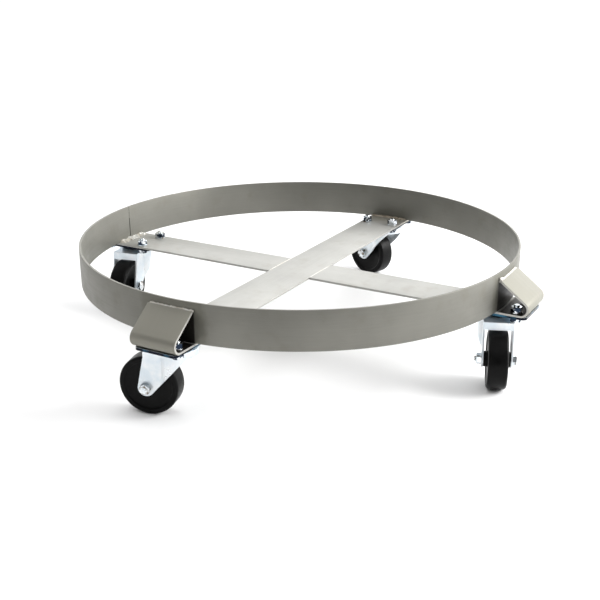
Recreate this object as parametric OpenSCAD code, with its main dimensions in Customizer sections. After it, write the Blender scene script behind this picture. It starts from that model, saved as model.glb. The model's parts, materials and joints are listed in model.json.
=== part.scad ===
// Drum dolly: a rolled flat-bar ring on a cross of straps, running on four swivel casters.
// Millimetres, +Z up. The origin is on the floor, under the middle of the ring.
// The long strap runs along Y (front and rear ends); the side straps meet it from the right and left.

/* [Ring] */
// Outside diameter of the ring
ring_outer_d = 609.6; // [500:0.1:700]
// Height of the ring band
ring_h = 50.8; // [40:0.1:60]
// Thickness of the ring band
ring_t = 3; // [2:0.5:5]
// Height of the whole dolly, floor to ring top
overall_h = 152.4; // [150:0.1:165]
// Width of the open slot in the ring's butt joint
seam_gap = 1.2; // [0.6:0.1:2]
// Height of the welded part of the butt joint, down from the ring top
seam_weld_h = 18; // [8:1:30]
// Direction of the butt joint, measured from +X
seam_angle = 180.5; // [175:0.5:185]

/* [Straps] */
// Width of each strap
strap_w = 64; // [58:1:70]
// Thickness of each strap
strap_t = 3; // [2:0.5:4]
// Distance from the centre to the outermost point of a folded strap end
strap_reach = 344; // [338:1:350]
// Outside radius of the fold
fold_r = 11; // [9:0.5:13]
// Slope of the folded-back end above the horizontal
fold_slope = 37; // [33:1:45]
// Gap between each side strap and the long strap, filled by the crossing weld
crossing_gap = 1.2; // [0.5:0.1:3]
// Radius of the weld beads
bead_r = 3.6; // [2:0.2:5]

/* [Casters] */
// Distance from the centre of the dolly to each kingpin
caster_reach = 294.5; // [292:0.5:296]
// Length of the top plate, along the strap
plate_l = 92; // [88:1:95]
// Width of the top plate, across the strap
plate_w = 60; // [56:1:64]
// Thickness of the top plate
plate_t = 3.5; // [3:0.1:4]
// Bolt spacing along the strap
bolt_spacing_along = 62; // [58:0.5:62]
// Bolt spacing across the strap
bolt_spacing_across = 44.5; // [40:0.5:46]
// Distance from the kingpin axis to the wheel axle
trail = 36; // [33:0.5:38]
// Diameter of the wheel
wheel_d = 76.2; // [70:0.1:78]
// Width of the wheel's tread
wheel_w = 25.4; // [20:0.1:30]

/* [Rest directions] */
// Direction from kingpin to axle of the front caster, from +X
front_swivel = 195; // [0:1:359]
// Direction from kingpin to axle of the right caster, from +X
right_swivel = 292; // [0:1:359]
// Direction from kingpin to axle of the rear caster, from +X
rear_swivel = 162; // [0:1:359]
// Direction from kingpin to axle of the left caster, from +X
left_swivel = 282; // [0:1:359]

/* [Hidden] */
$fn = 96;
cut = 1;        // how far a cutter runs past the face it cuts
far = 200;      // a length that is longer than any caster part

// The ends of the straps: [name, direction of the strap end, rest direction of the caster].
FRONT = ["front", -90, front_swivel];
RIGHT = ["right", 0, right_swivel];
REAR = ["rear", 90, rear_swivel];
LEFT = ["left", 180, left_swivel];
ENDS = [FRONT, RIGHT, REAR, LEFT];

// Ring and straps.
ring_outer_r = ring_outer_d / 2;
ring_inner_r = ring_outer_r - ring_t;
ring_bottom = overall_h - ring_h;
strap_top = ring_bottom;
strap_bottom = strap_top - strap_t;
fold_x = strap_reach - fold_r;              // where the flat bar starts to bend
fold_z = strap_bottom + fold_r;             // height of the bend's centre line
fold_end = 90 - fold_slope;                 // where the bend stops, as seen from its centre
fold_out = [cos(fold_end), sin(fold_end)];  // square to the folded-back end, away from the ring
fold_fit = 0.2;                             // between the ring and the square-cut folded end
weld_inset = 1;                             // how far the welds stop short of the strap's sides
weld_proud = 0.4;                           // how far a fold weld stands out past the bar
seam_weld_bottom = overall_h - seam_weld_h;

// The folded-back end is straight for this length, up to the edge that rests against the ring.
fold_inner_r = fold_r - strap_t;
fold_leg_l = (fold_x + fold_inner_r * fold_out[0] - ring_outer_r - fold_fit) / fold_out[1];
fold_back = fold_leg_l * [-fold_out[1], fold_out[0]];
fold_edge = [fold_x, fold_z] + fold_inner_r * fold_out + fold_back;

// Metric 8 mm fasteners.
bolt_r = 4;
hex_flats = 13;
head_h = 5.3;
nut_h = 6.5;
washer_r = 7.5;
washer_t = 1.6;
bolt_end = 2.4;                             // thread that shows past the nut
thread_gap = 0.02;
hole_r = 4.5;                               // bolt holes in the plate and the strap

// Caster heights, from the strap down.
plate_top = strap_bottom;
plate_bottom = plate_top - plate_t;
track_bottom = plate_bottom - 5.1;          // underside of the pressed upper track
crown_top = track_bottom - 1.2;
crown_t = 2.8;
crown_bottom = crown_top - crown_t;
cup_top = crown_bottom - 1.2;
cup_h = 4;
cup_bottom = cup_top - cup_h;
rivet_h = 2.2;

// Kingpin and ball tracks.
kingpin_r = 6;
press_gap = 0.02;                           // kingpin in the plate and in the cup
run_gap = 0.08;                             // kingpin in the fork, sleeve in the wheel
track_r = 21;
upper_ball_r = 2.38;
upper_pitch_r = 16.5;
upper_ball_count = 18;
upper_ball_z = (track_bottom + crown_top) / 2;
lower_ball_r = 2;
lower_pitch_r = 10;
lower_ball_count = 12;
lower_ball_z = (crown_bottom + cup_top) / 2;
seat_gap = 0.04;                            // ball in the track that it stays with
roll_gap = 0.3;                             // ball in the fork's groove
cup_r = 13.5;
rivet_r = 9;
countersink_r = 9;
countersink_h = 2;

// Fork.
crown_r = 24.5;
leg_t = 2.3;
leg_inner_y = 17.2;
leg_outer_y = leg_inner_y + leg_t;
crown_back_x = 38;                          // back face of the fork, over the wheel
skirt_bottom = crown_top - 10.3;            // lower edge of the back band
crown_rim_bottom = crown_top - 7.8;         // lower edge of the round rim in front
front_opening_y = 14;                       // half width of the opening between the legs in front
leg_front_x = -17;                          // where the leading edge of a leg meets the rim
leg_end_r = 10.5;

// Axle and wheel.
axle_z = wheel_d / 2;
sleeve_r = 6;
sleeve_bore_gap = 0.05;
hub_half = leg_inner_y - 0.4;
hub_r = 10;
tread_round = 3.5;
rim_inner_r = 31;
recess_depth = 2;

// Points of an arc round c, from angle a to angle b.
function arc(c, r, a, b, steps = 24) =
    [for (i = [0:steps]) let(turn = a + (b - a) * i / steps) c + r * [cos(turn), sin(turn)]];

// Direction from c of the point where a line from p touches the circle of radius r; side is 1 or -1.
function tangent_angle(p, c, r, side) =
    let(away = p - c)
    atan2(away[1], away[0]) + side * acos(r / norm(away));

// Puts a child at one end of a strap: +X points outward along the strap.
module at_end(end) {
    rotate([0, 0, end[1]]) children();
}

// Puts a child on a kingpin, with +X pointing from the kingpin to the axle.
module at_caster(end) {
    translate(caster_reach * [cos(end[1]), sin(end[1]), 0]) rotate([0, 0, end[2]]) children();
}

// Puts a child on a kingpin, with +X pointing outward along the strap.
module at_plate(end) {
    at_end(end) translate([caster_reach, 0, 0]) children();
}

// Repeats a child at the four bolt positions of one plate.
module at_bolts(end) {
    at_plate(end)
        for (along = [-1, 1])
            for (across = [-1, 1])
                translate([along * bolt_spacing_along / 2, across * bolt_spacing_across / 2, 0])
                    children();
}

module hex_prism(flats, height) {
    cylinder(r = flats / 2 / cos(30), h = height, $fn = 6);
}

// ---- Ring ----

module ring_tube() {
    difference() {
        cylinder(r = ring_outer_r, h = ring_h, $fn = 180);
        translate([0, 0, -cut]) cylinder(r = ring_inner_r, h = ring_h + 2 * cut, $fn = 180);
    }
}

module ring_band() {
    color("#a3a29a")
        difference() {
            translate([0, 0, ring_bottom]) ring_tube();
            rotate([0, 0, seam_angle])
                translate([ring_inner_r - cut, -seam_gap / 2, ring_bottom - cut])
                    cube([ring_t + 2 * cut, seam_gap, ring_h + 2 * cut]);
        }
}

module ring_seam_weld() {
    color("#bdbcb4")
        intersection() {
            translate([0, 0, ring_bottom]) ring_tube();
            rotate([0, 0, seam_angle])
                translate([ring_inner_r - cut, -seam_gap / 2, seam_weld_bottom])
                    cube([ring_t + 2 * cut, seam_gap, seam_weld_h]);
        }
}

// ---- Straps ----

// Side view of a strap, from its inner end to its folded end.
module strap_side(inner_end) {
    bend = [fold_x, fold_z];
    polygon(concat(
        [[inner_end, strap_bottom]],
        arc(bend, fold_r, -90, fold_end),
        [fold_edge + strap_t * fold_out, fold_edge],
        arc(bend, fold_inner_r, fold_end, -90),
        [[inner_end, strap_top]]
    ));
}

module strap(end, inner_end) {
    color("#c9cac4")
        at_end(end)
            difference() {
                rotate([90, 0, 0])
                    linear_extrude(height = strap_w, center = true) strap_side(inner_end);
                for (along = [-1, 1])
                    for (across = [-1, 1])
                        translate([
                            caster_reach + along * bolt_spacing_along / 2,
                            across * bolt_spacing_across / 2,
                            strap_bottom - cut
                        ])
                            cylinder(r = hole_r, h = strap_t + 2 * cut);
            }
}

module long_strap() {
    strap(FRONT, 0);
    strap(REAR, 0);
}

module side_strap(end) {
    strap(end, strap_w / 2 + crossing_gap);
}

// ---- Welds ----

// The butt welds between the long strap and the side straps, with a low bead underneath.
module crossing_weld() {
    root_r = 2;
    color("#b4b2a8")
        for (end = [RIGHT, LEFT])
            at_end(end)
                translate([strap_w / 2 + crossing_gap / 2, 0, 0]) {
                    translate([-crossing_gap / 2, -strap_w / 2, strap_bottom])
                        cube([crossing_gap, strap_w, strap_t]);
                    intersection() {
                        translate([0, 0, strap_bottom])
                            rotate([90, 0, 0])
                                cylinder(r = root_r, h = strap_w - 2 * weld_inset, center = true);
                        translate([-root_r, -strap_w / 2, strap_bottom - root_r])
                            cube([2 * root_r, strap_w, root_r]);
                    }
                }
}

// The bead in the corner between the ring's inner face and the top of a strap.
module ring_weld(end) {
    half_angle = asin((strap_w / 2 - 2 * weld_inset) / ring_inner_r);
    color("#b4b2a8")
        at_end(end)
            rotate([0, 0, -half_angle])
                rotate_extrude(angle = 2 * half_angle, $fn = 180)
                    intersection() {
                        translate([ring_inner_r, strap_top]) circle(r = bead_r, $fn = 48);
                        translate([ring_inner_r - bead_r, strap_top]) square(bead_r);
                    }
}

// The weld that fills the groove between a folded strap end and the outside of the ring.
module fold_weld(end) {
    weld_r = strap_t + weld_proud;
    ring_side = ring_outer_r - ring_t;
    color("#b4b2a8")
        at_end(end)
            difference() {
                rotate([90, 0, 0])
                    linear_extrude(height = strap_w - 2 * weld_inset, center = true)
                        polygon([
                            [ring_side, fold_edge[1]],
                            fold_edge,
                            fold_edge + weld_r * fold_out,
                            [ring_side, fold_edge[1] + weld_r]
                        ]);
                cylinder(r = ring_outer_r, h = overall_h, $fn = 720);
            }
}

// ---- Plate fasteners ----

module plate_bolts() {
    shank_l = plate_t + strap_t + washer_t + nut_h + bolt_end;
    color("#d9dde0")
        for (end = ENDS)
            at_bolts(end) translate([0, 0, plate_bottom - head_h]) {
                hex_prism(hex_flats, head_h);
                cylinder(r = bolt_r, h = head_h + shank_l);
            }
}

module plate_washers() {
    color("#d9dde0")
        for (end = ENDS)
            at_bolts(end) translate([0, 0, strap_top])
                difference() {
                    cylinder(r = washer_r, h = washer_t);
                    translate([0, 0, -cut]) cylinder(r = bolt_r + 0.2, h = washer_t + 2 * cut);
                }
}

module plate_nuts() {
    color("#d9dde0")
        for (end = ENDS)
            at_bolts(end) translate([0, 0, strap_top + washer_t])
                difference() {
                    hex_prism(hex_flats, nut_h);
                    translate([0, 0, -cut])
                        cylinder(r = bolt_r + thread_gap, h = nut_h + 2 * cut);
                }
}

// ---- Caster: what stays with the strap ----

// Outline of the top plate, with rounded corners.
module plate_outline() {
    corner_r = 6;
    square([plate_l - 2 * corner_r, plate_w], center = true);
    square([plate_l, plate_w - 2 * corner_r], center = true);
    for (along = [-1, 1])
        for (across = [-1, 1])
            translate([along * (plate_l / 2 - corner_r), across * (plate_w / 2 - corner_r)])
                circle(r = corner_r);
}

// A ball groove round the kingpin axis.
module groove(pitch_r, z, tube_r) {
    translate([0, 0, z]) rotate_extrude() translate([pitch_r, 0]) circle(r = tube_r, $fn = 48);
}

module top_plate(end) {
    color("#cfd8e0")
        at_plate(end)
            difference() {
                union() {
                    translate([0, 0, plate_bottom]) linear_extrude(height = plate_t) plate_outline();
                    translate([0, 0, track_bottom])
                        cylinder(r = track_r, h = plate_bottom - track_bottom + plate_t / 2);
                }
                for (along = [-1, 1])
                    for (across = [-1, 1])
                        translate([
                            along * bolt_spacing_along / 2,
                            across * bolt_spacing_across / 2,
                            plate_bottom - cut
                        ])
                            cylinder(r = hole_r, h = plate_t + 2 * cut);
                translate([0, 0, track_bottom - cut])
                    cylinder(r = kingpin_r + press_gap, h = plate_top - track_bottom + 2 * cut);
                translate([0, 0, plate_top - countersink_h])
                    cylinder(r1 = kingpin_r + press_gap, r2 = countersink_r + press_gap,
                        h = countersink_h);
                groove(upper_pitch_r, upper_ball_z, upper_ball_r + seat_gap);
            }
}

module kingpin(end) {
    color("#cfd8e0")
        at_plate(end) {
            translate([0, 0, plate_top - countersink_h])
                cylinder(r1 = kingpin_r, r2 = countersink_r, h = countersink_h);
            translate([0, 0, cup_bottom]) cylinder(r = kingpin_r, h = plate_top - cup_bottom);
            translate([0, 0, cup_bottom - rivet_h]) cylinder(r = rivet_r, h = rivet_h);
        }
}

module ball_ring(end, count, pitch_r, ball_z, ball_r) {
    color("#e6e6e6")
        at_plate(end)
            for (i = [0:count - 1])
                rotate([0, 0, 360 * i / count])
                    translate([pitch_r, 0, ball_z])
                        sphere(r = ball_r, $fn = 24);
}

module upper_balls(end) {
    ball_ring(end, upper_ball_count, upper_pitch_r, upper_ball_z, upper_ball_r);
}

module lower_balls(end) {
    ball_ring(end, lower_ball_count, lower_pitch_r, lower_ball_z, lower_ball_r);
}

module track_cup(end) {
    color("#cfd8e0")
        at_plate(end)
            difference() {
                translate([0, 0, cup_bottom]) cylinder(r = cup_r, h = cup_h);
                translate([0, 0, cup_bottom - cut])
                    cylinder(r = kingpin_r + press_gap, h = cup_h + 2 * cut);
                groove(lower_pitch_r, lower_ball_z, lower_ball_r + seat_gap);
            }
}

// ---- Caster: what swivels ----

// Plan of the fork: a round crown that runs into two straight legs.
module fork_plan(wall, back_x) {
    circle(r = crown_r - wall);
    translate([0, -leg_outer_y + wall]) square([back_x, 2 * (leg_outer_y - wall)]);
}

// Side view of the fork: a deep crown that narrows down to the axle.
module fork_side() {
    axle = [trail, axle_z];
    lead_top = [leg_front_x, crown_rim_bottom];
    back_top = [crown_back_x, skirt_bottom];
    back_turn = tangent_angle(back_top, axle, leg_end_r, -1);
    lead_turn = tangent_angle(lead_top, axle, leg_end_r, 1) - 360;
    polygon(concat(
        [[-crown_r, crown_rim_bottom], [-crown_r, crown_top], [crown_back_x, crown_top], back_top],
        arc(axle, leg_end_r, back_turn, lead_turn),
        [lead_top]
    ));
}

module fork(end) {
    color("#e2e7ea")
        at_caster(end)
            difference() {
                intersection() {
                    linear_extrude(height = crown_top) fork_plan(0, trail + 2 * leg_end_r);
                    rotate([90, 0, 0]) linear_extrude(height = far, center = true) fork_side();
                }
                // Hollow under the crown, in front of the back band.
                linear_extrude(height = crown_bottom) fork_plan(leg_t, crown_back_x - leg_t);
                // Space for the wheel, below the back band.
                translate([0, -leg_inner_y, 0])
                    cube([far, 2 * leg_inner_y, skirt_bottom]);
                // Opening between the legs in front, below the round rim.
                translate([-far, -front_opening_y, 0])
                    cube([far, 2 * front_opening_y, crown_rim_bottom]);
                cylinder(r = kingpin_r + run_gap, h = far);
                groove(upper_pitch_r, upper_ball_z, upper_ball_r + roll_gap);
                groove(lower_pitch_r, lower_ball_z, lower_ball_r + roll_gap);
                translate([trail, 0, axle_z])
                    rotate([90, 0, 0])
                        cylinder(r = bolt_r + sleeve_bore_gap, h = far, center = true);
            }
}

// Puts a child on the axle: +Z runs along it, towards the bolt's head.
module at_axle(end) {
    at_caster(end) translate([trail, 0, axle_z]) rotate([-90, 0, 0]) children();
}

module axle_bolt(end) {
    color("#d9dde0")
        at_axle(end) {
            translate([0, 0, leg_outer_y]) hex_prism(hex_flats, head_h);
            translate([0, 0, -leg_outer_y - nut_h - bolt_end])
                cylinder(r = bolt_r, h = 2 * leg_outer_y + nut_h + bolt_end + head_h);
        }
}

module axle_nut(end) {
    color("#d9dde0")
        at_axle(end) translate([0, 0, -leg_outer_y - nut_h])
            difference() {
                hex_prism(hex_flats, nut_h);
                translate([0, 0, -cut]) cylinder(r = bolt_r + thread_gap, h = nut_h + 2 * cut);
            }
}

module axle_sleeve(end) {
    color("#c8c8c8")
        at_axle(end)
            difference() {
                cylinder(r = sleeve_r, h = 2 * leg_inner_y, center = true);
                cylinder(r = bolt_r + sleeve_bore_gap, h = far, center = true);
            }
}

// ---- Caster: the wheel ----

// Half section of the wheel: radius across, axle direction up.
module wheel_section() {
    wheel_r = wheel_d / 2;
    half_w = wheel_w / 2;
    bore_r = sleeve_r + run_gap;
    web_half = half_w - recess_depth;
    translate([bore_r, -web_half]) square([wheel_r - tread_round - bore_r, 2 * web_half]);
    translate([bore_r, -hub_half]) square([hub_r - bore_r, 2 * hub_half]);
    translate([rim_inner_r, -half_w]) square([wheel_r - tread_round - rim_inner_r, wheel_w]);
    translate([rim_inner_r, tread_round - half_w])
        square([wheel_r - rim_inner_r, wheel_w - 2 * tread_round]);
    for (side = [-1, 1])
        translate([wheel_r - tread_round, side * (half_w - tread_round)])
            circle(r = tread_round, $fn = 48);
}

module wheel(end) {
    color("#161616")
        at_axle(end) rotate_extrude($fn = 128) wheel_section();
}

ring_band();
ring_seam_weld();
long_strap();
side_strap(RIGHT);  // right_strap
side_strap(LEFT);  // left_strap
crossing_weld();
for (end = ENDS) {
    ring_weld(end);
    fold_weld(end);
    top_plate(end);
    kingpin(end);
    upper_balls(end);
    lower_balls(end);
    track_cup(end);
    fork(end);
    axle_bolt(end);
    axle_nut(end);
    axle_sleeve(end);
    wheel(end);
}
plate_bolts();
plate_washers();
plate_nuts();
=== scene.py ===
import json
import math

import bmesh
import bpy
from mathutils import Matrix, Vector, noise


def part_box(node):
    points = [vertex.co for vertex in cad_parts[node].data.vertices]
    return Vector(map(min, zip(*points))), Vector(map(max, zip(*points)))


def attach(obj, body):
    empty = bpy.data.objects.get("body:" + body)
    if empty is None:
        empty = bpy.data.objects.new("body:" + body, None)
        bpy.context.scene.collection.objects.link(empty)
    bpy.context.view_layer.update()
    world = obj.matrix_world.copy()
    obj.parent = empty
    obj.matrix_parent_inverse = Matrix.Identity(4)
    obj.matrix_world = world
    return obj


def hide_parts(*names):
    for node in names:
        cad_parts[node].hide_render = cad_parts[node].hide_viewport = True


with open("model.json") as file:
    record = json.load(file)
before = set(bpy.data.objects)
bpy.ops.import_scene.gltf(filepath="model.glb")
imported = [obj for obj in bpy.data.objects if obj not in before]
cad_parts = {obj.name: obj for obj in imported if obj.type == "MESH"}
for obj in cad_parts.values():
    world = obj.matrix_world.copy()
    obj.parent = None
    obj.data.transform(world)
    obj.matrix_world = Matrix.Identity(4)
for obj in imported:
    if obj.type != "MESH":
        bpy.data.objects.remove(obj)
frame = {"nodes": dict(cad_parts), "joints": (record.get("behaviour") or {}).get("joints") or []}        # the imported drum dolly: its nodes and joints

MM = 0.001
TAU = 2 * math.pi
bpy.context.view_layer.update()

# ---- Sizes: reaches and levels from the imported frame, small sizes and clearances named here ----

ring_low, ring_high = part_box("ring_band")
RING_R = ring_high.x                      # outer radius
RING_T = 3.0 * MM                         # thickness of the band
RING_INNER_R = RING_R - RING_T
RING_TOP = ring_high.z
RING_BOTTOM = ring_low.z
STRAP_TOP = RING_BOTTOM
STRAP_T = STRAP_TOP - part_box("long_strap")[0].z
STRAP_BOTTOM = STRAP_TOP - STRAP_T
STRAP_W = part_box("long_strap")[1].x * 2
STRAP_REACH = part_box("long_strap")[1].y
CROSSING_GAP = 1.2 * MM                   # between a side strap and the long strap
FOLD_R = 11.0 * MM                        # outer radius of the fold
FOLD_INNER_R = FOLD_R - STRAP_T
FOLD_SLOPE = math.radians(37)             # slope of the folded-back leg
FOLD_X = STRAP_REACH - FOLD_R             # where the bend starts
FOLD_Z = STRAP_BOTTOM + FOLD_R
FOLD_END = math.radians(90) - FOLD_SLOPE  # where the bend stops, from its centre
FOLD_EDGE_X = RING_R + 0.2 * MM           # the edge of the folded end that rests against the ring
FOLD_LEG = (FOLD_X + FOLD_INNER_R * math.cos(FOLD_END) - FOLD_EDGE_X) / math.sin(FOLD_END)
FOLD_EDGE_Z = FOLD_Z + FOLD_INNER_R * math.sin(FOLD_END) + FOLD_LEG * math.cos(FOLD_END)
BAR_EDGE = 0.45 * MM                      # rounding of the bar's long edges
SEAM_ANGLE = math.radians(180.5)
SEAM_GAP = 1.5 * MM                       # width of the open slot in the ring
SEAM_WELD_BOTTOM = RING_TOP - 18 * MM

HEX_FLATS = 13.0 * MM
BOLT_R = 4.0 * MM
NUT_H = 6.5 * MM
HEAD_H = 5.3 * MM
WASHER_T = 1.6 * MM
WASHER_R = 7.5 * MM
WASHER_BORE_R = 4.2 * MM
HOLE_R = 4.5 * MM                         # bolt holes in the straps
BOLT_SHOWS = 2.4 * MM                     # thread past the nut
THREAD_PITCH = 1.25 * MM
PLATE_BOTTOM = STRAP_BOTTOM - 3.5 * MM
BOLT_ALONG = 62.0 * MM / 2                # from the kingpin to a bolt, along the strap
BOLT_ACROSS = 44.5 * MM / 2

LEG_OUTER = 19.5 * MM                     # from the middle of the wheel to the outside of a fork leg
HUB_HALF = 16.8 * MM                      # half the length of the wheel's hub

ENDS = {"front": -90, "right": 0, "rear": 90, "left": 180}


def caster_axes(end):
    """Where a caster's kingpin and axle stand."""
    joints = {j["name"]: j for j in frame["joints"]}
    return Vector(joints[end + "_swivel"]["pos_m"]), Vector(joints[end + "_roll"]["pos_m"])


def caster_place(end):
    """Matrix of a caster: origin on the kingpin at floor level, X to the axle, Y along the axle."""
    pin, axle = caster_axes(end)
    forward = Vector((axle.x - pin.x, axle.y - pin.y, 0)).normalized()
    turn = math.atan2(forward.y, forward.x)
    return Matrix.Translation((pin.x, pin.y, 0)) @ Matrix.Rotation(turn, 4, "Z")


def caster_trail(end):
    """How far the axle stands from the kingpin, and its height."""
    pin, axle = caster_axes(end)
    return math.hypot(axle.x - pin.x, axle.y - pin.y), axle.z


TRAIL, AXLE_Z = caster_trail("front")
WHEEL_R = AXLE_Z
CASTER_REACH = abs(caster_place("front").translation.y)


def end_turn(end):
    """Rotation that puts +X along a strap end."""
    return Matrix.Rotation(math.radians(ENDS[end]), 4, "Z")


def smooth(t):
    t = min(max(t, 0.0), 1.0)
    return t * t * (3 - 2 * t)


# ---- Materials ----


class Nodes:
    """Short forms for building a material's node tree."""

    def __init__(self, name, base, metallic, roughness):
        self.material = bpy.data.materials.new(name)
        self.material.use_nodes = True
        self.tree = self.material.node_tree
        self.shader = self.tree.nodes["Principled BSDF"]
        self.shader.inputs["Base Color"].default_value = (*base, 1)
        self.shader.inputs["Metallic"].default_value = metallic
        self.shader.inputs["Roughness"].default_value = roughness
        self.place = self.add("ShaderNodeTexCoord").outputs["Object"]

    def add(self, kind, **values):
        node = self.tree.nodes.new(kind)
        for name, value in values.items():
            setattr(node, name, value)
        return node

    def link(self, source, target):
        self.tree.links.new(source, target)

    def scaled(self, scale):
        """The object's own coordinates, stretched."""
        node = self.add("ShaderNodeMapping")
        node.inputs["Scale"].default_value = scale
        self.link(self.place, node.inputs["Vector"])
        return node.outputs["Vector"]

    def noise(self, scale, stretch=(1, 1, 1), detail=4.0, rough=0.55):
        node = self.add("ShaderNodeTexNoise")
        node.inputs["Scale"].default_value = scale
        node.inputs["Detail"].default_value = detail
        node.inputs["Roughness"].default_value = rough
        self.link(self.scaled(stretch), node.inputs["Vector"])
        return node.outputs["Fac"]

    def spread(self, value, low, high, out_low=0.0, out_high=1.0):
        """Maps low..high to out_low..out_high, clamped."""
        node = self.add("ShaderNodeMapRange")
        node.inputs["From Min"].default_value = low
        node.inputs["From Max"].default_value = high
        node.inputs["To Min"].default_value = out_low
        node.inputs["To Max"].default_value = out_high
        self.link(value, node.inputs["Value"])
        return node.outputs["Result"]

    def math(self, operation, a, b):
        node = self.add("ShaderNodeMath", operation=operation)
        for value, socket in ((a, node.inputs[0]), (b, node.inputs[1])):
            if isinstance(value, (int, float)):
                socket.default_value = value
            else:
                self.link(value, socket)
        return node.outputs["Value"]

    def length(self, a, b):
        """Length of the vector (a, b)."""
        squares = self.math("ADD", self.math("MULTIPLY", a, a), self.math("MULTIPLY", b, b))
        return self.math("SQRT", squares, 0)

    def mix(self, share, a, b):
        """Mixes two colours, each a tuple or a socket."""
        node = self.add("ShaderNodeMix", data_type="RGBA")
        self.link(share, node.inputs["Factor"])
        for value, socket in ((a, node.inputs[6]), (b, node.inputs[7])):
            if isinstance(value, tuple):
                socket.default_value = (*value, 1)
            else:
                self.link(value, socket)
        return node.outputs[2]

    def colour(self, socket):
        self.link(socket, self.shader.inputs["Base Color"])

    def rough(self, socket):
        self.link(socket, self.shader.inputs["Roughness"])

    def bump(self, height, distance, strength=1.0):
        node = self.add("ShaderNodeBump")
        node.inputs["Distance"].default_value = distance
        node.inputs["Strength"].default_value = strength
        self.link(height, node.inputs["Height"])
        if self.shader.inputs["Normal"].links:
            self.link(self.shader.inputs["Normal"].links[0].from_socket, node.inputs["Normal"])
        self.link(node.outputs["Normal"], self.shader.inputs["Normal"])

    def colour_so_far(self):
        return self.shader.inputs["Base Color"].links[0].from_socket

    def along(self, axis):
        """The object's own coordinate along an axis, in metres."""
        parts = self.add("ShaderNodeSeparateXYZ")
        self.link(self.place, parts.inputs["Vector"])
        return parts.outputs[axis]

    def facing(self, axis):
        """1 on faces square to an axis, 0 on faces along it."""
        parts = self.add("ShaderNodeSeparateXYZ")
        self.link(self.add("ShaderNodeTexCoord").outputs["Normal"], parts.inputs["Vector"])
        return self.math("ABSOLUTE", parts.outputs[axis], 0)


def scaled_tone(base, factors):
    return tuple(c * k for c, k in zip(base, factors))


def tones(base, spread):
    """A darker and a lighter version of a colour."""
    return tuple(c * (1 - spread) for c in base), tuple(c * (1 + spread) for c in base)


def stainless(name, base, grain, metallic):
    """Ground flat bar. Grain is the stretch of the fine lines: large across them, small along them."""
    m = Nodes(name, base, metallic, 0.45)
    m.shader.inputs["Specular IOR Level"].default_value = 0.2
    dark, light = tones(base, 0.12)
    lines = m.noise(9.0, grain, detail=6.0, rough=0.7)
    bands = m.noise(1.6, grain, detail=2.0)
    clouds = m.noise(9.0, detail=3.0)
    smudge = m.noise(34.0, detail=5.0, rough=0.6)
    shade = m.math("ADD", m.math("MULTIPLY", lines, 0.35), m.math("MULTIPLY", clouds, 0.65))
    colour = m.mix(m.spread(shade, 0.35, 0.65), dark, light)
    stain_and_painted_shade = m.spread(smudge, 0.56, 0.72, 0.0, 0.4)
    m.colour(m.mix(stain_and_painted_shade, colour, scaled_tone(base, (0.86, 0.82, 0.76))))
    rough = m.math("ADD", m.spread(bands, 0.3, 0.7, 0.40, 0.47), m.spread(smudge, 0.4, 0.7, 0.0, 0.10))
    m.rough(rough)
    m.bump(lines, 0.03 * MM, 0.35)
    m.bump(clouds, 0.25 * MM, 0.2)
    return m


def heat_tint(m, base, axis, start, end):
    """Browns a bar towards its welded end, in patches."""
    reach = m.spread(m.along(axis), start, end)
    patches = m.noise(70.0, detail=6.0, rough=0.65)
    share = m.math("MULTIPLY", reach, m.spread(patches, 0.34, 0.60, 0.35, 1.0))
    brown = m.mix(m.spread(m.noise(240.0, detail=4.0), 0.4, 0.62),
                  scaled_tone(base, (0.95, 0.89, 0.76)), scaled_tone(base, (1.2, 1.14, 1.02)))
    m.colour(m.mix(share, m.colour_so_far(), brown))


def fold_painted_shade(m, length_axis, width_axis):
    """Paints shade over a folded end, darkest inside the bend, and brightens the cut edges of the bar
    there.
    """
    along = m.math("ABSOLUTE", m.along(length_axis), 0)
    height = m.along("Z")
    folded = m.spread(along, RING_R, RING_R + 3.0 * MM)
    depth = m.math("ADD",
                   m.math("MULTIPLY", m.math("SUBTRACT", along, FOLD_EDGE_X), math.cos(FOLD_END)),
                   m.math("MULTIPLY", m.math("SUBTRACT", height, FOLD_EDGE_Z), math.sin(FOLD_END)))
    past_bend = m.math("MAXIMUM", m.math("SUBTRACT", along, FOLD_X), 0)
    under_bend = m.math("MINIMUM", m.math("SUBTRACT", height, FOLD_Z), 0)
    from_bend = m.length(past_bend, under_bend)
    inside = m.math("MULTIPLY", m.spread(depth, 0.2 * MM, 1.0 * MM, 1.0, 0.0),
                    m.spread(from_bend, FOLD_INNER_R + 1.0 * MM, FOLD_INNER_R + 1.6 * MM, 1.0, 0.0))
    cut = m.spread(m.facing(width_axis), 0.8, 0.95)
    # painted shade: the whole folded end is made darker
    m.colour(m.mix(folded, m.colour_so_far(), FOLD_SHADE_TONE))
    # painted shade in the hollow inside the bend
    m.colour(m.mix(m.math("MULTIPLY", inside, folded), m.colour_so_far(), CREVICE_SHADE_TONE))
    m.colour(m.mix(m.math("MULTIPLY", cut, folded), m.colour_so_far(), CUT_TONE))


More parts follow.
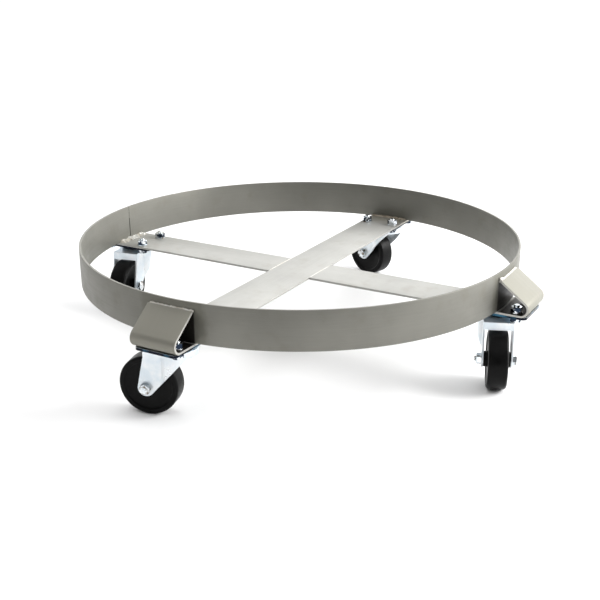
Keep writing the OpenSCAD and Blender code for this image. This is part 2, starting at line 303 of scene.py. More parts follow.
def pocket_painted_shade(m):
    """Paints shade on the outside of the ring behind each folded end, with a fainter painted shade
    beside it.
    """
    x = m.math("ABSOLUTE", m.along("X"), 0)
    y = m.math("ABSOLUTE", m.along("Y"), 0)
    across = m.math("MINIMUM", x, y)
    along = m.math("MAXIMUM", x, y)
    behind = m.math("MULTIPLY", m.spread(across, STRAP_W / 2 - 1.5 * MM, STRAP_W / 2, 1.0, 0.0),
                    m.spread(m.along("Z"), FOLD_EDGE_Z - 1.0 * MM, FOLD_EDGE_Z, 1.0, 0.0))
    ragged = m.math("ADD", across, m.spread(m.noise(45.0, detail=3.0), 0.3, 0.7, 0.0, 9.0 * MM))
    beside = m.spread(ragged, STRAP_W / 2 + 14.0 * MM, STRAP_W / 2 + 22.0 * MM, 0.55, 0.0)
    outer = m.spread(m.length(across, along), RING_R - 1.5 * MM, RING_R - 0.8 * MM)
    # painted shade: a fainter dark band beside each folded end
    stain_and_painted_shade = scaled_tone(RING_TONE, (0.66, 0.65, 0.58))
    m.colour(m.mix(m.math("MULTIPLY", beside, outer), m.colour_so_far(), stain_and_painted_shade))
    # painted shade in the gap behind each folded end
    m.colour(m.mix(m.math("MULTIPLY", behind, outer), m.colour_so_far(), CREVICE_SHADE_TONE))


def weld_metal(name, base, dark):
    """Rough weld metal, dark in patches."""
    m = Nodes(name, base, 0.4, 0.42)
    grains = m.noise(420.0, detail=5.0, rough=0.65)
    tint = m.noise(90.0, detail=3.0)
    m.colour(m.mix(m.spread(tint, 0.42, 0.62), base, dark))
    m.rough(m.spread(grains, 0.3, 0.7, 0.30, 0.55))
    m.bump(grains, 0.35 * MM, 0.8)
    return m.material


def zinc(name, base, cool, roughness, metallic=1.0):
    """Bright zinc plate: pale, slightly blue in patches, with fine spangle."""
    m = Nodes(name, base, metallic, roughness)
    patches = m.noise(55.0, detail=3.0)
    fine = m.noise(500.0, detail=2.0)
    colour = m.mix(m.spread(patches, 0.40, 0.64), base, cool)
    m.colour(m.mix(m.spread(fine, 0.5, 0.8, 0.0, 0.2), colour, scaled_tone(base, (0.8, 0.8, 0.8))))
    m.rough(m.math("ADD", m.spread(patches, 0.3, 0.7, roughness - 0.05, roughness + 0.07),
                   m.spread(fine, 0.3, 0.7, 0.0, 0.05)))
    m.bump(patches, 0.2 * MM, 0.2)
    return m


def painted_side_reflections(m, scale, start, dark, light):
    """Painted reflections: patches of a dark and a light colour on the upright faces; level faces stay
    as they are.
    """
    reflecting_share = m.spread(m.facing("Z"), 0.20, 0.55, 1.0, 0.0)
    tint = m.mix(m.spread(m.noise(scale, detail=2.0), start, start + 0.1), dark, light)
    m.colour(m.mix(reflecting_share, m.colour_so_far(), tint))


def black_plastic(name):
    """Moulded black plastic with faint flow marks, and dust and scuffs on the tread."""
    m = Nodes(name, (0.003, 0.003, 0.003), 0.0, 0.36)
    m.shader.inputs["Specular IOR Level"].default_value = 0.10
    flow = m.noise(60.0, detail=3.0)
    speckle = m.noise(1400.0, detail=3.0)
    dust = m.noise(210.0, detail=6.0, rough=0.65)
    colour = m.mix(m.spread(flow, 0.4, 0.7), (0.002, 0.002, 0.002), (0.004, 0.004, 0.004))
    m.colour(m.mix(m.spread(dust, 0.62, 0.80, 0.0, 0.2), colour, (0.02, 0.019, 0.018)))
    m.rough(m.math("ADD", m.spread(flow, 0.3, 0.7, 0.30, 0.40), m.spread(dust, 0.5, 0.75, 0.0, 0.22)))
    m.bump(speckle, 0.02 * MM, 0.4)
    return m.material


def bright_steel(name):
    m = Nodes(name, (0.70, 0.70, 0.70), 1.0, 0.16)
    marks = m.noise(700.0, (1, 1, 0.2), detail=3.0)
    m.rough(m.spread(marks, 0.3, 0.7, 0.12, 0.24))
    m.bump(marks, 0.01 * MM, 0.4)
    return m.material


GRAIN_ROUND = (3, 3, 260)                 # lines run round the ring
GRAIN_Y = (260, 3, 3)                     # lines run along Y
GRAIN_X = (3, 260, 3)                     # lines run along X
RING_TONE = (0.188, 0.185, 0.164)
STRAP_TONE = (0.36, 0.358, 0.338)
WELD_TONE = (0.68, 0.67, 0.63)
# painted shade over the folded ends
FOLD_SHADE_TONE = (0.240, 0.233, 0.198)
CUT_TONE = (0.50, 0.49, 0.46)             # the bar's cut sides
# painted shade for hollows: inside the folds, and on the ring behind them
CREVICE_SHADE_TONE = (0.020, 0.018, 0.015)


def ring_finish():
    m = stainless("ring_steel", RING_TONE, GRAIN_ROUND, 0.5)
    # painted shade round the folded ends
    pocket_painted_shade(m)
    return m.material


def long_strap_finish():
    m = stainless("long_strap_steel", STRAP_TONE, GRAIN_Y, 0.35)
    heat_tint(m, STRAP_TONE, "Y", RING_R - 45 * MM, RING_R - 15 * MM)
    fold_painted_shade(m, "Y", "X")
    return m.material


def side_strap_finish():
    m = stainless("side_strap_steel", STRAP_TONE, GRAIN_X, 0.35)
    fold_painted_shade(m, "X", "Y")
    return m.material


def plate_finish():
    m = zinc("plate_zinc", (0.72, 0.76, 0.80), (0.55, 0.64, 0.72), 0.16)
    # painted reflections: dark and blue patches on the plate's upright edges
    painted_side_reflections(m, 38.0, 0.54, (0.008, 0.010, 0.016), (0.03, 0.09, 0.14))
    return m.material


def nut_finish():
    m = zinc("nut_zinc", (0.80, 0.82, 0.83), (0.62, 0.70, 0.76), 0.13)
    # painted reflections: dark patches on the nut flanks
    painted_side_reflections(m, 150.0, 0.46, (0.02, 0.03, 0.05), (0.72, 0.76, 0.80))
    return m.material


def axle_finish():
    m = zinc("bolt_zinc", (0.80, 0.82, 0.83), (0.62, 0.70, 0.76), 0.13)
    patches = m.spread(m.noise(180.0, detail=1.0), 0.50, 0.64)
    m.colour(m.mix(patches, m.colour_so_far(), (0.16, 0.13, 0.10)))
    return m.material


ring_steel = ring_finish()
long_steel = long_strap_finish()
side_steel = side_strap_finish()
weld_steel = weld_metal("weld_metal", WELD_TONE, scaled_tone(WELD_TONE, (0.80, 0.76, 0.70)))
brown_weld = weld_metal("brown_weld_metal", scaled_tone(WELD_TONE, (0.6, 0.54, 0.46)),
                        scaled_tone(WELD_TONE, (0.38, 0.32, 0.25)))
seam_weld = weld_metal("seam_weld_metal", scaled_tone(RING_TONE, (1.1, 1.1, 1.1)),
                       scaled_tone(RING_TONE, (0.7, 0.68, 0.62)))
zinc_fork = zinc("fork_zinc", (0.80, 0.83, 0.85), (0.68, 0.75, 0.80), 0.30, 0.65).material
zinc_plate = plate_finish()
zinc_nut = nut_finish()
zinc_axle = axle_finish()
wheel_plastic = black_plastic("wheel_plastic")
ball_steel = bright_steel("ball_steel")


# ---- Building pieces ----


class Shape:
    """Vertices and faces of one piece while it is being built."""

    def __init__(self):
        self.points = []
        self.faces = []

    def loop(self, points):
        """Adds a closed loop of points and returns their numbers."""
        start = len(self.points)
        self.points.extend(Vector(p) for p in points)
        return list(range(start, len(self.points)))

    def bridge(self, a, b):
        """Joins two loops of equal length with quads."""
        n = len(a)
        for i in range(n):
            self.faces.append((a[i], a[(i + 1) % n], b[(i + 1) % n], b[i]))

    def cap(self, loop, flip=False):
        self.faces.append(tuple(reversed(loop)) if flip else tuple(loop))

    def tube(self, loops, closed=False):
        """Skins a row of loops; the ends are capped, or joined if closed."""
        for a, b in zip(loops, loops[1:]):
            self.bridge(a, b)
        if closed:
            self.bridge(loops[-1], loops[0])
        else:
            self.cap(loops[0], flip=True)
            self.cap(loops[-1])


def mesh_of(shape, name, place=None):
    """A shape's mesh, moved to its place, with all faces turned outwards."""
    mesh = bpy.data.meshes.new(name)
    mesh.from_pydata([tuple(p) for p in shape.points], [], shape.faces)
    if place is not None:
        mesh.transform(place)
    turned = bmesh.new()
    turned.from_mesh(mesh)
    bmesh.ops.recalc_face_normals(turned, faces=turned.faces)
    turned.to_mesh(mesh)
    turned.free()
    return mesh


def make_piece(name, shape, material, body, replaces=(), place=None, crease=40):
    """Turns a shape into a piece that rides on a body and stands for CAD nodes."""
    mesh = mesh_of(shape, name, place)
    mesh.materials.append(material)
    mesh.shade_smooth()
    mesh.set_sharp_from_angle(angle=math.radians(crease))
    piece = bpy.data.objects.new(name, mesh)
    bpy.context.scene.collection.objects.link(piece)
    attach(piece, body)
    if replaces:
        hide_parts(*replaces)
    return piece


def carve(piece, cutter_shape):
    """Cuts a shape out of a piece, for good."""
    mesh = mesh_of(cutter_shape, "cutter")
    cutter = bpy.data.objects.new("cutter", mesh)
    bpy.context.scene.collection.objects.link(cutter)
    change = piece.modifiers.new("carve", "BOOLEAN")
    change.operation = "DIFFERENCE"
    change.solver = "EXACT"
    change.object = cutter
    bpy.context.view_layer.update()
    result = bpy.data.meshes.new_from_object(piece.evaluated_get(bpy.context.evaluated_depsgraph_get()))
    piece.modifiers.clear()
    old = piece.data
    piece.data = result
    bpy.data.meshes.remove(old)
    bpy.data.objects.remove(cutter)
    bpy.data.meshes.remove(mesh)
    result.shade_smooth()
    result.set_sharp_from_angle(angle=math.radians(40))


def circle_points(radius, z, count, centre=(0, 0)):
    return [
        (centre[0] + radius * math.cos(TAU * i / count),
         centre[1] + radius * math.sin(TAU * i / count), z)
        for i in range(count)
    ]


def add_cylinder(shape, radius, low, high, count, centre=(0, 0)):
    shape.tube([
        shape.loop(circle_points(radius, low, count, centre)),
        shape.loop(circle_points(radius, high, count, centre)),
    ])


def rounded_bar(width, thickness, edge, steps=3):
    """Section of a flat bar with rounded edges, as (across, up) pairs."""
    points = []
    for corner, (sx, sy) in enumerate(((1, 1), (-1, 1), (-1, -1), (1, -1))):
        for i in range(steps + 1):
            turn = math.radians(90 * corner + 90 * i / steps)
            points.append((
                sx * (width / 2 - edge) + edge * math.cos(turn),
                sy * (thickness / 2 - edge) + edge * math.sin(turn),
            ))
    return points


def lathe(shape, profile, count, swing=TAU):
    """Turns a closed profile of (radius, height) pairs round Z."""
    loops = []
    for i in range(count):
        turn = swing * i / count
        loops.append(shape.loop([(r * math.cos(turn), r * math.sin(turn), z) for r, z in profile]))
    shape.tube(loops, closed=True)


# ---- Ring ----


def build_ring():
    """The rolled band: a flat bar on edge, open at the butt joint."""
    segments = 540
    section = rounded_bar(RING_T, RING_TOP - RING_BOTTOM, BAR_EDGE)
    middle_r = RING_R - RING_T / 2
    middle_z = (RING_TOP + RING_BOTTOM) / 2
    half_gap = SEAM_GAP / 2 / middle_r
    shape = Shape()
    loops = []
    for i in range(segments + 1):
        turn = SEAM_ANGLE + half_gap + (TAU - 2 * half_gap) * i / segments
        loops.append(shape.loop([
            ((middle_r + x) * math.cos(turn), (middle_r + x) * math.sin(turn), middle_z + y)
            for x, y in section
        ]))
    shape.tube(loops)
    return make_piece("ring_bar", shape, ring_steel, "root", ["ring_band"])


def build_seam():
    """The short weld that closes the top of the butt joint, with a blob where it was broken off."""
    shape = Shape()
    rows = 60
    sides = 14
    loops = []
    for i in range(rows + 1):
        t = i / rows
        z = SEAM_WELD_BOTTOM + (RING_TOP - SEAM_WELD_BOTTOM) * t
        blob = 1 + 1.1 * math.exp(-((t - 0.03) / 0.05) ** 2)
        ripple = 1 + 0.10 * math.sin(TAU * t * 11)
        half_w = SEAM_GAP * 0.62 * blob * ripple
        half_t = RING_T / 2 + 0.30 * MM * blob * ripple
        if t > 0.97:
            half_t = RING_T / 2
        points = []
        for k in range(sides):
            turn = TAU * k / sides
            wobble = 1 + 0.16 * noise.noise(Vector((k * 0.9, t * 14, 3.1)))
            x = RING_R - RING_T / 2 + half_t * math.cos(turn) * wobble
            y = half_w * math.sin(turn) * wobble
            points.append((x, y, z))
        loops.append(shape.loop(points))
    shape.tube(loops)
    place = Matrix.Rotation(SEAM_ANGLE, 4, "Z")
    return make_piece("seam_bead", shape, seam_weld, "root", ["ring_seam_weld"], place)


# ---- Straps ----


def strap_path(inner_end):
    """Middle line of a strap from its inner end outwards, as (along, z, tangent turn)."""
    flat_z = (STRAP_TOP + STRAP_BOTTOM) / 2
    flats = 8
    points = [(inner_end + (FOLD_X - inner_end) * i / flats, flat_z, 0.0) for i in range(flats)]
    middle_r = FOLD_R - STRAP_T / 2
    turn_steps = 28
    bend = math.radians(90) + FOLD_END
    for i in range(turn_steps + 1):
        turn = bend * i / turn_steps
        points.append((FOLD_X + middle_r * math.sin(turn), FOLD_Z - middle_r * math.cos(turn), turn))
    along, z, turn = points[-1]
    for share in (0.5, 1.0):
        leg = FOLD_LEG * share
        points.append((along + leg * math.cos(turn), z + leg * math.sin(turn), turn))
    return points


def build_strap(name, path, sides, end, material, node):
    """A flat bar along a path, drilled for the casters on the given sides of the centre."""
    section = rounded_bar(STRAP_W, STRAP_T, BAR_EDGE)
    shape = Shape()
    shape.tube([
        shape.loop([
            (along - up * math.sin(turn), across, z + up * math.cos(turn))
            for across, up in section
        ])
        for along, z, turn in path
    ])
    place = end_turn(end)
    piece = make_piece(name, shape, material, "root", [node], place)
    holes = Shape()
    for side in sides:
        for along in (-1, 1):
            for across in (-1, 1):
                centre = Vector((side * CASTER_REACH + along * BOLT_ALONG, across * BOLT_ACROSS, 0))
                centre = place @ centre
                add_cylinder(holes, HOLE_R, STRAP_BOTTOM - 1 * MM, STRAP_TOP + 1 * MM, 40,
                             (centre.x, centre.y))
    carve(piece, holes)


def build_straps():
    """The long strap from fold to fold, and the two side straps that meet it."""
    half = strap_path(0.0)
    mirrored = [(-along, z, -turn) for along, z, turn in reversed(half[1:])]
    build_strap("long_bar", mirrored + half, (-1, 1), "rear", long_steel, "long_strap")
    side = strap_path(STRAP_W / 2 + CROSSING_GAP)
    build_strap("right_bar", side, (1,), "right", side_steel, "right_strap")
    build_strap("left_bar", side, (1,), "left", side_steel, "left_strap")


# ---- Welds ----


def lump(point, seed, size):
    """Fractal noise about zero, with features of a given size."""
    return noise.fractal(Vector(point) / size + Vector((seed, seed * 0.7, 0)), 0.9, 2.1, 4)


def bead(shape, path, out, wide, back, high, rough, seed, pitch=2.6 * MM):
    """A rippled, uneven weld bead along a path: wide along out(t), back the other way, high along Z."""
    sides = 28
    loops = []
    count = len(path)
    length = 0.0
    for i, point in enumerate(path):
        if i:
            length += (Vector(point) - Vector(path[i - 1])).length
        t = i / (count - 1)
        taper = math.sqrt(max(0.0, min(1.0, min(t, 1 - t) * 16)))
        ripple = 0.92 + 0.12 * abs(math.sin(math.pi * length / pitch))
        swell = 1 + rough * 0.8 * lump((length, 0, 0), seed, 7 * MM)
        side = out(t)
        points = []
        for k in range(sides):
            turn = TAU * k / sides
            reach = wide if math.cos(turn) > 0 else back
            rise = Vector((0, 0, high * math.sin(turn)))
            start = Vector(point) + side * (reach * math.cos(turn)) + rise
            jag = 1 + rough * lump(start, seed, 3.4 * MM)
            size = max(ripple * swell * jag, 0.15) * (0.2 + 0.8 * taper)
            points.append(Vector(point) + (start - Vector(point)) * size)
        loops.append(shape.loop(points))
    shape.tube(loops)


def blob(shape, centre, radius, seed):
    """A small lump of spatter or weld metal."""
    rings, sides = 12, 18
    loops = []
    for i in range(1, rings):
        tilt = math.pi * i / rings
        points = []
        for k in range(sides):
            turn = TAU * k / sides
            flat = math.sin(tilt)
            way = Vector((flat * math.cos(turn), flat * math.sin(turn), math.cos(tilt)))
            swell = 1 + 0.45 * lump(way * radius, seed, radius * 1.3)
            points.append(Vector(centre) + way * radius * swell)
        loops.append(shape.loop(points))
    shape.tube(loops)


# How each strap end's weld inside the ring came out: width along the strap and roughness.
RING_BEADS = {"front": (4.6 * MM, 0.34), "right": (4.6 * MM, 0.34), "rear": (3.6 * MM, 0.22),
              "left": (7.2 * MM, 0.50)}


def build_ring_weld(end, seed):
    """The rough fillet between the inside of the ring and the strap."""
    shape = Shape()
    count = 180
    half_angle = math.asin((STRAP_W / 2 - 1 * MM) / RING_INNER_R)
    wide, rough = RING_BEADS[end]

    def turn(t):
        return -half_angle + 2 * half_angle * t

    def inward(t):
        return Vector((-math.cos(turn(t)), -math.sin(turn(t)), 0))

    path = []
    for i in range(count):
        t = i / (count - 1)
        path.append((RING_INNER_R * math.cos(turn(t)), RING_INNER_R * math.sin(turn(t)),
                     STRAP_TOP - 0.3 * MM))
    bead(shape, path, inward, wide, RING_T / 2, 3.0 * MM, rough, seed)
    material = brown_weld if end == "rear" else weld_steel
    return make_piece("ring_fillet_" + end, shape, material, "root",
                      ["ring_weld_" + end], end_turn(end))


# Larger drops in each fold weld: (position across the strap, radius).
FOLD_DROPS = {
    "front": [(31.2 * MM, 1.3 * MM)],
    "right": [(-29.0 * MM, 2.9 * MM), (-23.5 * MM, 2.3 * MM), (-17.5 * MM, 1.7 * MM)],
    "rear": [(29.5 * MM, 1.7 * MM)],
    "left": [(-30.5 * MM, 1.5 * MM), (12 * MM, 1.8 * MM)],
}


def build_fold_weld(end, seed):
    """The uneven weld that fills the groove between the folded end and the ring."""
    shape = Shape()
    count = 160
    half = STRAP_W / 2 - 0.8 * MM

    def outward(t):
        return Vector((1, 0, 0))

    path = []
    for i in range(count):
        across = -half + 2 * half * i / (count - 1)
        along = math.sqrt(RING_R ** 2 - across ** 2)
        path.append(((along + FOLD_EDGE_X) / 2, across, FOLD_EDGE_Z + 0.9 * MM))
    bead(shape, path, outward, 2.0 * MM, 2.0 * MM, 2.2 * MM, 0.30, seed, 3.4 * MM)
    for across, radius in FOLD_DROPS[end]:
        along = math.sqrt(RING_R ** 2 - across ** 2)
        blob(shape, (along + 1.6 * MM, across, FOLD_EDGE_Z + 0.5 * MM + radius), radius, seed)
    return make_piece("fold_bead_" + end, shape, weld_steel, "root",
                      ["fold_weld_" + end], end_turn(end))


def build_crossing_weld():
    """The butt welds at the centre: ground almost flush on top, left as beads underneath."""
    shape = Shape()
    count = 90
    half = STRAP_W / 2 - 1.2 * MM
    for side in (-1, 1):
        x = side * (STRAP_W + CROSSING_GAP) / 2

        def outward(t, side=side):
            return Vector((side, 0, 0))

        for size, z, rough in ((0.9 * MM, STRAP_TOP - 0.75 * MM, 0.15), (1.7 * MM, STRAP_BOTTOM, 0.2)):
            path = [(x, -half + 2 * half * i / (count - 1), z) for i in range(count)]
            bead(shape, path, outward, size, size, size, rough, 40 + side, 2.4 * MM)
    return make_piece("crossing_beads", shape, weld_steel, "root", ["crossing_weld"])


# ---- Fasteners ----


def hex_radius(turn):
    sixth = math.radians(60)
    return HEX_FLATS / 2 / math.cos((turn % sixth) - sixth / 2)


def hex_loop(shape, height, chamfer_from, sign, count):
    """A hexagon's rim, chamfered where it stands outside the circle chamfer_from."""
    points = []
    for i in range(count):
        turn = TAU * i / count
        r = hex_radius(turn)
        drop = max(0.0, r - chamfer_from) * math.tan(math.radians(30))
        points.append((r * math.cos(turn), r * math.sin(turn), height - sign * drop))
    return shape.loop(points)


def add_nut(shape, low, high, count=72):
    """A hex nut along Z, with a countersunk thread mouth at each face."""
    chamfer_r = HEX_FLATS / 2 * 0.985
    mouth_r = BOLT_R + 0.45 * MM
    bore_r = BOLT_R + 0.02 * MM
    loops = [
        shape.loop(circle_points(bore_r, low + 0.4 * MM, count)),
        shape.loop(circle_points(mouth_r, low, count)),
        shape.loop(circle_points(chamfer_r, low, count)),
        hex_loop(shape, low, chamfer_r, -1, count),
        hex_loop(shape, high, chamfer_r, 1, count),
        shape.loop(circle_points(chamfer_r, high, count)),
        shape.loop(circle_points(mouth_r, high, count)),
        shape.loop(circle_points(bore_r, high - 0.4 * MM, count)),
    ]
    shape.tube(loops, closed=True)


def add_bolt(shape, head_end, head_face, tip, count=72):
    """A hex bolt along Z: head from head_end to head_face, shank on to tip, threaded near the tip."""
    sign = 1 if tip > head_face else -1
    chamfer_r = HEX_FLATS / 2 * 0.97
    dish_r = chamfer_r * 0.93
    loops = [
        shape.loop(circle_points(dish_r * 0.35, head_end + sign * 0.25 * MM, count)),
        shape.loop(circle_points(dish_r, head_end + sign * 0.18 * MM, count)),
        shape.loop(circle_points(chamfer_r, head_end, count)),
        hex_loop(shape, head_end, chamfer_r, -sign, count),
        hex_loop(shape, head_face, HEX_FLATS, sign, count),
        shape.loop(circle_points(BOLT_R, head_face, count)),
    ]
    thread_from = tip - sign * 12 * MM
    loops.append(shape.loop(circle_points(BOLT_R, thread_from, count)))
    steps = 96
    depth = 0.5 * MM
    for i in range(1, steps + 1):
        z = thread_from + (tip - thread_from) * i / steps
        ends = smooth(min(i, (steps - i)) / 10)
        taper = smooth((steps - i) / 8)
        points = []
        for k in range(count):
            turn = TAU * k / count
            phase = (z / THREAD_PITCH - turn / TAU * sign) % 1.0
            wave = 1 - abs(2 * phase - 1)
            r = BOLT_R - depth * wave * ends - 0.7 * MM * (1 - taper)
            points.append((r * math.cos(turn), r * math.sin(turn), z))
        loops.append(shape.loop(points))
    shape.tube(loops)


def bolt_places():
    """Place of every plate bolt: the strap end, and the bolt's matrix at floor level."""
    for end in ENDS:
        for along in (-1, 1):
            for across in (-1, 1):
                shift = Vector((CASTER_REACH + along * BOLT_ALONG, across * BOLT_ACROSS, 0))
                yield end, end_turn(end) @ Matrix.Translation(shift)


def add_moved(target, source, place):
    """Adds a shape's copy to another shape."""
    start = len(target.points)
    target.points.extend(place @ p for p in source.points)
    target.faces.extend(tuple(start + i for i in face) for face in source.faces)


def build_fasteners():
    bolt = Shape()
    tip = STRAP_TOP + WASHER_T + NUT_H + BOLT_SHOWS
    add_bolt(bolt, PLATE_BOTTOM - HEAD_H, PLATE_BOTTOM, tip)
    nut = Shape()
    add_nut(nut, STRAP_TOP + WASHER_T, STRAP_TOP + WASHER_T + NUT_H)
    washer = Shape()
    edge = 0.25 * MM
    washer_section = [
        (WASHER_BORE_R, edge), (WASHER_BORE_R + edge, 0), (WASHER_R - edge, 0), (WASHER_R, edge),
        (WASHER_R, WASHER_T - edge), (WASHER_R - edge, WASHER_T),
        (WASHER_BORE_R + edge, WASHER_T), (WASHER_BORE_R, WASHER_T - edge),
    ]
    lathe(washer, [(r, STRAP_TOP + z) for r, z in washer_section], 64)
    all_bolts, all_nuts, all_washers = Shape(), Shape(), Shape()
    for number, (end, place) in enumerate(bolt_places()):
        spin = Matrix.Rotation(math.radians(37 * number % 60), 4, "Z")
        nut_spin = Matrix.Rotation(math.radians(23 + 41 * number % 60), 4, "Z")
        add_moved(all_bolts, bolt, place @ spin)
        add_moved(all_nuts, nut, place @ nut_spin)
        add_moved(all_washers, washer, place)
    make_piece("hex_bolts", all_bolts, zinc_nut, "root", ["plate_bolts"], crease=28)
    make_piece("hex_nuts", all_nuts, zinc_nut, "root", ["plate_nuts"], crease=28)
    make_piece("flat_washers", all_washers, zinc_axle, "root", ["plate_washers"], crease=28)


# ---- Casters ----


def axle_place(end):
    """Matrix of an axle: origin at its middle, Z along it towards the bolt head."""
    return (caster_place(end) @ Matrix.Translation((TRAIL, 0, AXLE_Z))
            @ Matrix.Rotation(math.radians(-90), 4, "X"))


def build_axle(end):
    bolt = Shape()
    add_bolt(bolt, LEG_OUTER + HEAD_H, LEG_OUTER, -LEG_OUTER - NUT_H - BOLT_SHOWS)
    nut = Shape()
    add_nut(nut, -LEG_OUTER - NUT_H, -LEG_OUTER)
    place = axle_place(end)
    make_piece("axle_hex_bolt_" + end, bolt, zinc_axle, "swivel_" + end,
               ["axle_bolt_" + end], place, crease=28)
    make_piece("axle_hex_nut_" + end, nut, zinc_axle, "swivel_" + end,
               ["axle_nut_" + end], place @ Matrix.Rotation(0.4, 4, "Z"), crease=28)


def wheel_profile():
    """Half section of the wheel as (radius, axle) pairs, from the bore outwards and back."""
    half_w = 12.7 * MM
    round_r = 3.5 * MM
    bore = 6.08 * MM
    side = [
        (bore, HUB_HALF - 0.5 * MM),
        (bore + 0.5 * MM, HUB_HALF),
        (9.6 * MM, HUB_HALF),
        (10.0 * MM, HUB_HALF - 0.4 * MM),
        (10.3 * MM, half_w - 1.2 * MM),
        (11.5 * MM, half_w - 1.6 * MM),
        (29.4 * MM, half_w - 1.6 * MM),
        (30.6 * MM, half_w - 1.0 * MM),
        (31.4 * MM, half_w - 0.15 * MM),
        (32.0 * MM, half_w),
    ]
    corner = [
        (WHEEL_R - round_r + round_r * math.sin(math.radians(90 * i / 8)),
         half_w - round_r + round_r * math.cos(math.radians(90 * i / 8)))
        for i in range(9)
    ]
    upper = side + corner + [(WHEEL_R, 0.3 * MM)]
    lower = [(r, -y) for r, y in reversed(upper)]
    return upper + lower


def build_wheel(end):
    shape = Shape()
    lathe(shape, wheel_profile(), 180)
    return make_piece("caster_wheel_" + end, shape, wheel_plastic, "roller_" + end,
                      ["wheel_" + end], axle_place(end), crease=35)


def soften(node, width, material):
    """Rounds a CAD node's edges with modifiers and gives it its finish."""
    piece = frame["nodes"][node]
    piece.data.materials.clear()
    piece.data.materials.append(material)
    for polygon in piece.data.polygons:
        polygon.material_index = 0
    weld = piece.modifiers.new("join", "WELD")
    weld.merge_threshold = 0.002 * MM
    flats = piece.modifiers.new("flats", "DECIMATE")
    flats.decimate_type = "DISSOLVE"
    flats.angle_limit = math.radians(0.5)
    rounding = piece.modifiers.new("edges", "BEVEL")
    rounding.width = width
    rounding.segments = 3
    rounding.limit_method = "ANGLE"
    rounding.angle_limit = math.radians(35)
    rounding.harden_normals = False


def finish_nodes():
    """Materials for the CAD nodes that keep their own shape."""
    for end in ENDS:
        soften("top_plate_" + end, 0.5 * MM, zinc_plate)
        soften("kingpin_" + end, 0.4 * MM, zinc_axle)
        soften("track_cup_" + end, 0.4 * MM, zinc_plate)
        soften("fork_" + end, 0.4 * MM, zinc_fork)
        soften("axle_sleeve_" + end, 0.2 * MM, ball_steel)
        for balls in ("upper_balls_", "lower_balls_"):
            node = frame["nodes"][balls + end]
            node.data.materials.clear()
            node.data.materials.append(ball_steel)


# ---- Stage ----


def build_stage():
    mesh = bpy.data.meshes.new("floor")
    reach = 30.0
    mesh.from_pydata([(-reach, -reach, 0), (reach, -reach, 0), (reach, reach, 0), (-reach, reach, 0)],
                     [], [(0, 1, 2, 3)])
    floor = bpy.data.objects.new("floor", mesh)
    bpy.context.scene.collection.objects.link(floor)
    paper = bpy.data.materials.new("floor_paper")
    paper.use_nodes = True
    paper.node_tree.nodes["Principled BSDF"].inputs["Base Color"].default_value = (0.86, 0.86, 0.86, 1)
    paper.node_tree.nodes["Principled BSDF"].inputs["Roughness"].default_value = 0.9
    mesh.materials.append(paper)


VIEW_AZIMUTH = math.radians(29.64)        # the camera stands this far round from -Y towards +X


def camera_side(sideways, away, up):
    """A point given from the camera's side: to its right, away from it, and up."""
    turn = Matrix.Rotation(VIEW_AZIMUTH, 4, "Z")
    return turn @ Vector((sideways, away, up))


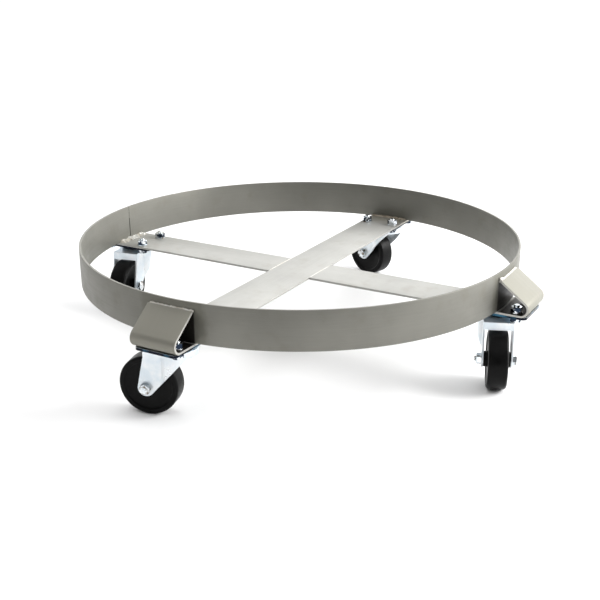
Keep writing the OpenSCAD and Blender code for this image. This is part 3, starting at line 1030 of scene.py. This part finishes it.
class Sky:
    """World light made of soft round glows, brightest towards given directions."""

    def __init__(self, ambient):
        world = bpy.data.worlds.new("studio")
        world.use_nodes = True
        self.tree = world.node_tree
        self.direction = self.tree.nodes.new("ShaderNodeTexCoord").outputs["Generated"]
        self.background = self.tree.nodes["Background"]
        self.background.inputs["Color"].default_value = (1, 1, 1, 1)
        self.total = None
        self.ambient = ambient
        bpy.context.scene.world = world

    def glow(self, azimuth, elevation, inner, outer, strength):
        """Azimuth is to the camera's right from straight away; all angles in degrees."""
        a, e = math.radians(azimuth), math.radians(elevation)
        towards = camera_side(math.sin(a) * math.cos(e), math.cos(a) * math.cos(e), math.sin(e))
        dot = self.tree.nodes.new("ShaderNodeVectorMath")
        dot.operation = "DOT_PRODUCT"
        dot.inputs[1].default_value = towards
        self.tree.links.new(self.direction, dot.inputs[0])
        fall = self.tree.nodes.new("ShaderNodeMapRange")
        fall.interpolation_type = "SMOOTHSTEP"
        fall.inputs["From Min"].default_value = math.cos(math.radians(outer))
        fall.inputs["From Max"].default_value = math.cos(math.radians(inner))
        fall.inputs["To Min"].default_value = 0.0
        fall.inputs["To Max"].default_value = strength
        self.tree.links.new(dot.outputs["Value"], fall.inputs["Value"])
        add = self.tree.nodes.new("ShaderNodeMath")
        add.operation = "ADD"
        if self.total is None:
            add.inputs[0].default_value = self.ambient
        else:
            self.tree.links.new(self.total, add.inputs[0])
        self.tree.links.new(fall.outputs["Result"], add.inputs[1])
        self.total = add.outputs["Value"]

    def finish(self):
        """Lights the scene with the glows; the camera sees plain white behind the floor."""
        sight = self.tree.nodes.new("ShaderNodeLightPath").outputs["Is Camera Ray"]
        brighter = self.tree.nodes.new("ShaderNodeMath")
        brighter.operation = "MAXIMUM"
        self.tree.links.new(self.total, brighter.inputs[0])
        self.tree.links.new(sight, brighter.inputs[1])
        self.tree.links.new(brighter.outputs["Value"], self.background.inputs["Strength"])


def build_lights():
    sky = Sky(0.18)
    sky.glow(0, 24, 20, 44, 2.15)         # behind the object, seen in the strap tops
    sky.glow(48, 20, 16, 40, 2.1)
    sky.glow(-55, 20, 12, 40, 1.3)
    sky.glow(95, 15, 12, 36, 2.2)         # from the right, low
    sky.glow(0, 90, 20, 58, 0.7)          # overhead
    sky.finish()
    add_lamp("key", 1.2, 7, camera_side(-0.9, -1.3, 2.3))
    add_lamp("right", 1.4, 74, camera_side(2.2, -0.2, 1.3))


def add_lamp(name, size, power, place):
    """A round soft lamp that points at the middle of the object."""
    lamp = bpy.data.lights.new(name, "AREA")
    lamp.shape = "DISK"
    lamp.size = size
    lamp.energy = power
    holder = bpy.data.objects.new(name, lamp)
    holder.location = place
    holder.rotation_mode = "QUATERNION"
    holder.rotation_quaternion = (Vector((0, 0, 0.1)) - place).to_track_quat("-Z", "Y")
    bpy.context.scene.collection.objects.link(holder)


def build_camera():
    data = bpy.data.cameras.new("camera")
    data.lens = 61.26
    data.sensor_width = 36.0
    data.clip_start = 0.05
    data.clip_end = 100
    camera = bpy.data.objects.new("camera", data)
    camera.location = camera_side(0, -1.379, 0.5617)
    pitch = math.radians(90 - 20.27)
    roll = math.radians(-0.146)
    camera.rotation_euler = (
        Matrix.Rotation(VIEW_AZIMUTH, 4, "Z") @ Matrix.Rotation(pitch, 4, "X")
        @ Matrix.Rotation(roll, 4, "Z")
    ).to_euler()
    bpy.context.scene.collection.objects.link(camera)
    bpy.context.scene.camera = camera


build_ring()
build_seam()
build_straps()
build_crossing_weld()
for index, end in enumerate(ENDS):
    build_ring_weld(end, 10 * index)
    build_fold_weld(end, 10 * index + 5)
    build_axle(end)
    build_wheel(end)
build_fasteners()
finish_nodes()
build_stage()
build_lights()
build_camera()
bpy.context.scene.view_settings.view_transform = "Standard"
